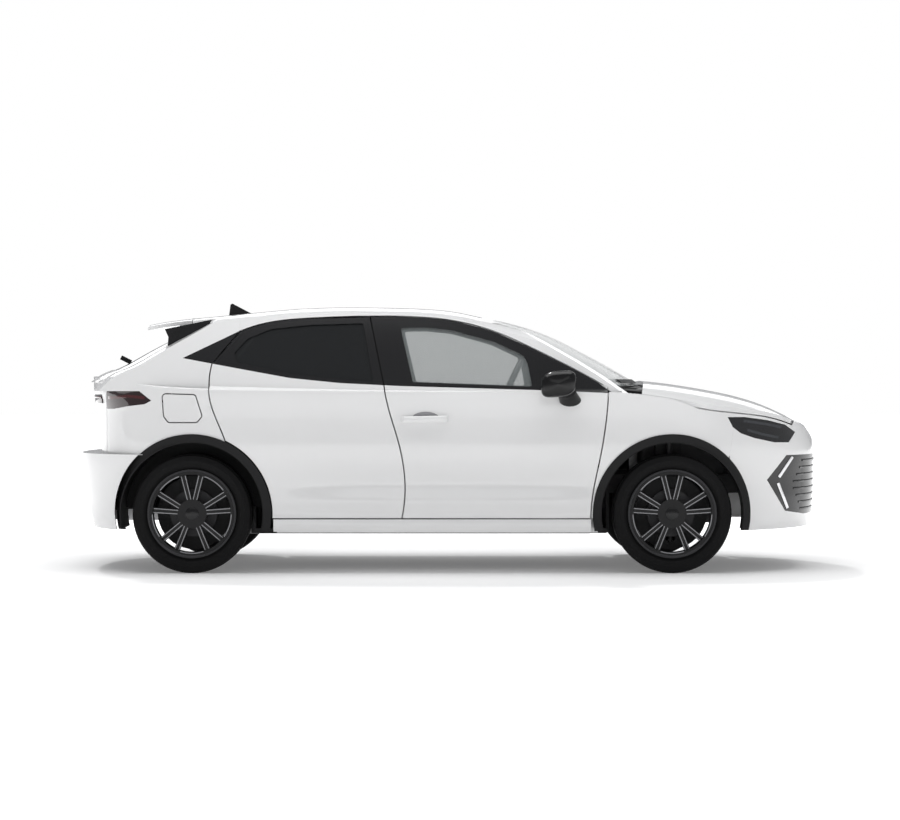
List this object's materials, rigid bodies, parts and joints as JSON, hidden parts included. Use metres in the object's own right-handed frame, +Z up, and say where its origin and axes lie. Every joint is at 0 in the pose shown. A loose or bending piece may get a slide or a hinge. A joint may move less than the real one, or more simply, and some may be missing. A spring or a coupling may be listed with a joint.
{
  "type": "five-door hatchback car",
  "caption": "White five-door supermini hatchback with a hollow cabin, opening doors, bonnet, tailgate and fuel flap, steered front wheels and spinning alloy wheels.",
  "frame": {"origin": "ground level under the middle of the car's overall length and width", "axes": "+X towards the nose, +Y to the car's left, +Z up"},
  "size_m": [4.1166, 2.024, 1.4759],
  "materials": {
    "body_white": "gloss white paint",
    "gloss_black": "gloss black",
    "trim_black": "grained black plastic",
    "underbody": "satin dark coating",
    "glass_clear": "clear laminated glass",
    "glass_dark": "privacy glass",
    "lamp": "smoked lamp lens",
    "lamp_red": "dark red lamp lens",
    "cabin": "soft grained plastic",
    "fabric": "woven seat cloth",
    "steel": "machined steel",
    "cast": "cast metal",
    "alloy": "gloss black alloy with machined edges",
    "tyre": "black rubber"
  },
  "bodies": {
    "body": {"floor_pan": "underbody", "side_frame_right": "body_white", "side_frame_left": "body_white", "roof_panel": "body_white", "front_structure": "underbody", "rear_panel": "underbody", "front_fenders": "body_white", "quarter_panels": "body_white", "front_bumper": "body_white", "rear_bumper": "body_white", "front_grille": "gloss_black", "headlamps": "lamp", "tail_lamps": "lamp_red", "windscreen": "glass_clear", "arch_trims": "trim_black", "wheel_liners": "trim_black", "sill_covers": "body_white", "cowl_panel": "trim_black", "wipers": "trim_black", "antenna_fin": "gloss_black", "door_hinges": "steel", "dashboard": "cabin", "front_seats": "fabric", "rear_bench": "fabric", "engine_block": "cast", "exhaust": "steel", "front_suspension": "cast", "rear_axle": "cast"},
    "bonnet": {"bonnet": "body_white"},
    "tailgate": {"tailgate": "body_white", "tailgate_glass": "glass_dark", "rear_wiper": "trim_black"},
    "fuel_flap": {"fuel_flap": "body_white"},
    "steering_wheel": {"steering_wheel": "cabin"},
    "door_front_right": {"door_front_right": "body_white", "glass_front_right": "glass_clear", "mirror_right": "gloss_black"},
    "door_front_left": {"door_front_left": "body_white", "glass_front_left": "glass_clear", "mirror_left": "gloss_black"},
    "door_rear_right": {"door_rear_right": "body_white", "glass_rear_right": "glass_dark"},
    "door_rear_left": {"door_rear_left": "body_white", "glass_rear_left": "glass_dark"},
    "upright_right": {"knuckle_front_right": "cast"},
    "upright_left": {"knuckle_front_left": "cast"},
    "wheel_front_right": {"tyre_front_right": "tyre", "rim_front_right": "alloy", "brake_disc_front_right": "steel"},
    "wheel_front_left": {"tyre_front_left": "tyre", "rim_front_left": "alloy", "brake_disc_front_left": "steel"},
    "wheel_rear_right": {"tyre_rear_right": "tyre", "rim_rear_right": "alloy", "brake_disc_rear_right": "steel"},
    "wheel_rear_left": {"tyre_rear_left": "tyre", "rim_rear_left": "alloy", "brake_disc_rear_left": "steel"}
  },
  "joints": [
    {"name": "steer_left", "type": "hinge", "parent": "body", "child": "upright_left", "pos_m": [1.21, 0.69, 0.18], "axis": [0, -0.1991, 0.98], "range_deg": [-33, 33]},
    {"name": "steer_right", "type": "hinge", "parent": "body", "child": "upright_right", "pos_m": [1.21, -0.69, 0.18], "axis": [0, 0.1991, 0.98], "range_deg": [-33, 33]},
    {"name": "steering_wheel_turn", "type": "hinge", "parent": "body", "child": "steering_wheel", "pos_m": [0.345, 0.37, 0.985], "axis": [-0.9063, 0, 0.4226], "range_deg": [-470, 470]},
    {"name": "wheel_front_right_spin", "type": "hinge", "parent": "upright_right", "child": "wheel_front_right", "pos_m": [1.21, -0.75, 0.321], "axis": [0, 1, 0], "continuous": true},
    {"name": "wheel_front_left_spin", "type": "hinge", "parent": "upright_left", "child": "wheel_front_left", "pos_m": [1.21, 0.75, 0.321], "axis": [0, 1, 0], "continuous": true},
    {"name": "wheel_rear_right_spin", "type": "hinge", "parent": "body", "child": "wheel_rear_right", "pos_m": [-1.381, -0.75, 0.321], "axis": [0, 1, 0], "continuous": true},
    {"name": "wheel_rear_left_spin", "type": "hinge", "parent": "body", "child": "wheel_rear_left", "pos_m": [-1.381, 0.75, 0.321], "axis": [0, 1, 0], "continuous": true},
    {"name": "door_front_right_open", "type": "hinge", "parent": "body", "child": "door_front_right", "pos_m": [0.766, -0.868, 0.69], "axis": [0, 0, 1], "range_deg": [0, 66]},
    {"name": "door_rear_right_open", "type": "hinge", "parent": "body", "child": "door_rear_right", "pos_m": [-0.33, -0.868, 0.69], "axis": [0, 0, 1], "range_deg": [0, 66]},
    {"name": "door_front_left_open", "type": "hinge", "parent": "body", "child": "door_front_left", "pos_m": [0.766, 0.868, 0.69], "axis": [0, 0, -1], "range_deg": [0, 66]},
    {"name": "door_rear_left_open", "type": "hinge", "parent": "body", "child": "door_rear_left", "pos_m": [-0.33, 0.868, 0.69], "axis": [0, 0, -1], "range_deg": [0, 66]},
    {"name": "bonnet_open", "type": "hinge", "parent": "body", "child": "bonnet", "pos_m": [1, 0, 0.972], "axis": [0, -1, 0], "range_deg": [0, 52]},
    {"name": "tailgate_open", "type": "hinge", "parent": "body", "child": "tailgate", "pos_m": [-1.362, 0, 1.376], "axis": [0, 1, 0], "range_deg": [0, 75]},
    {"name": "fuel_flap_open", "type": "hinge", "parent": "body", "child": "fuel_flap", "pos_m": [-1.365, -0.84, 0.89], "axis": [0, 0, 1], "range_deg": [0, 85]}
  ],
  "couplings": [
    {"joint": "steer_right", "follows": "steer_left", "ratio": 1},
    {"joint": "steering_wheel_turn", "follows": "steer_left", "ratio": 14}
  ]
}
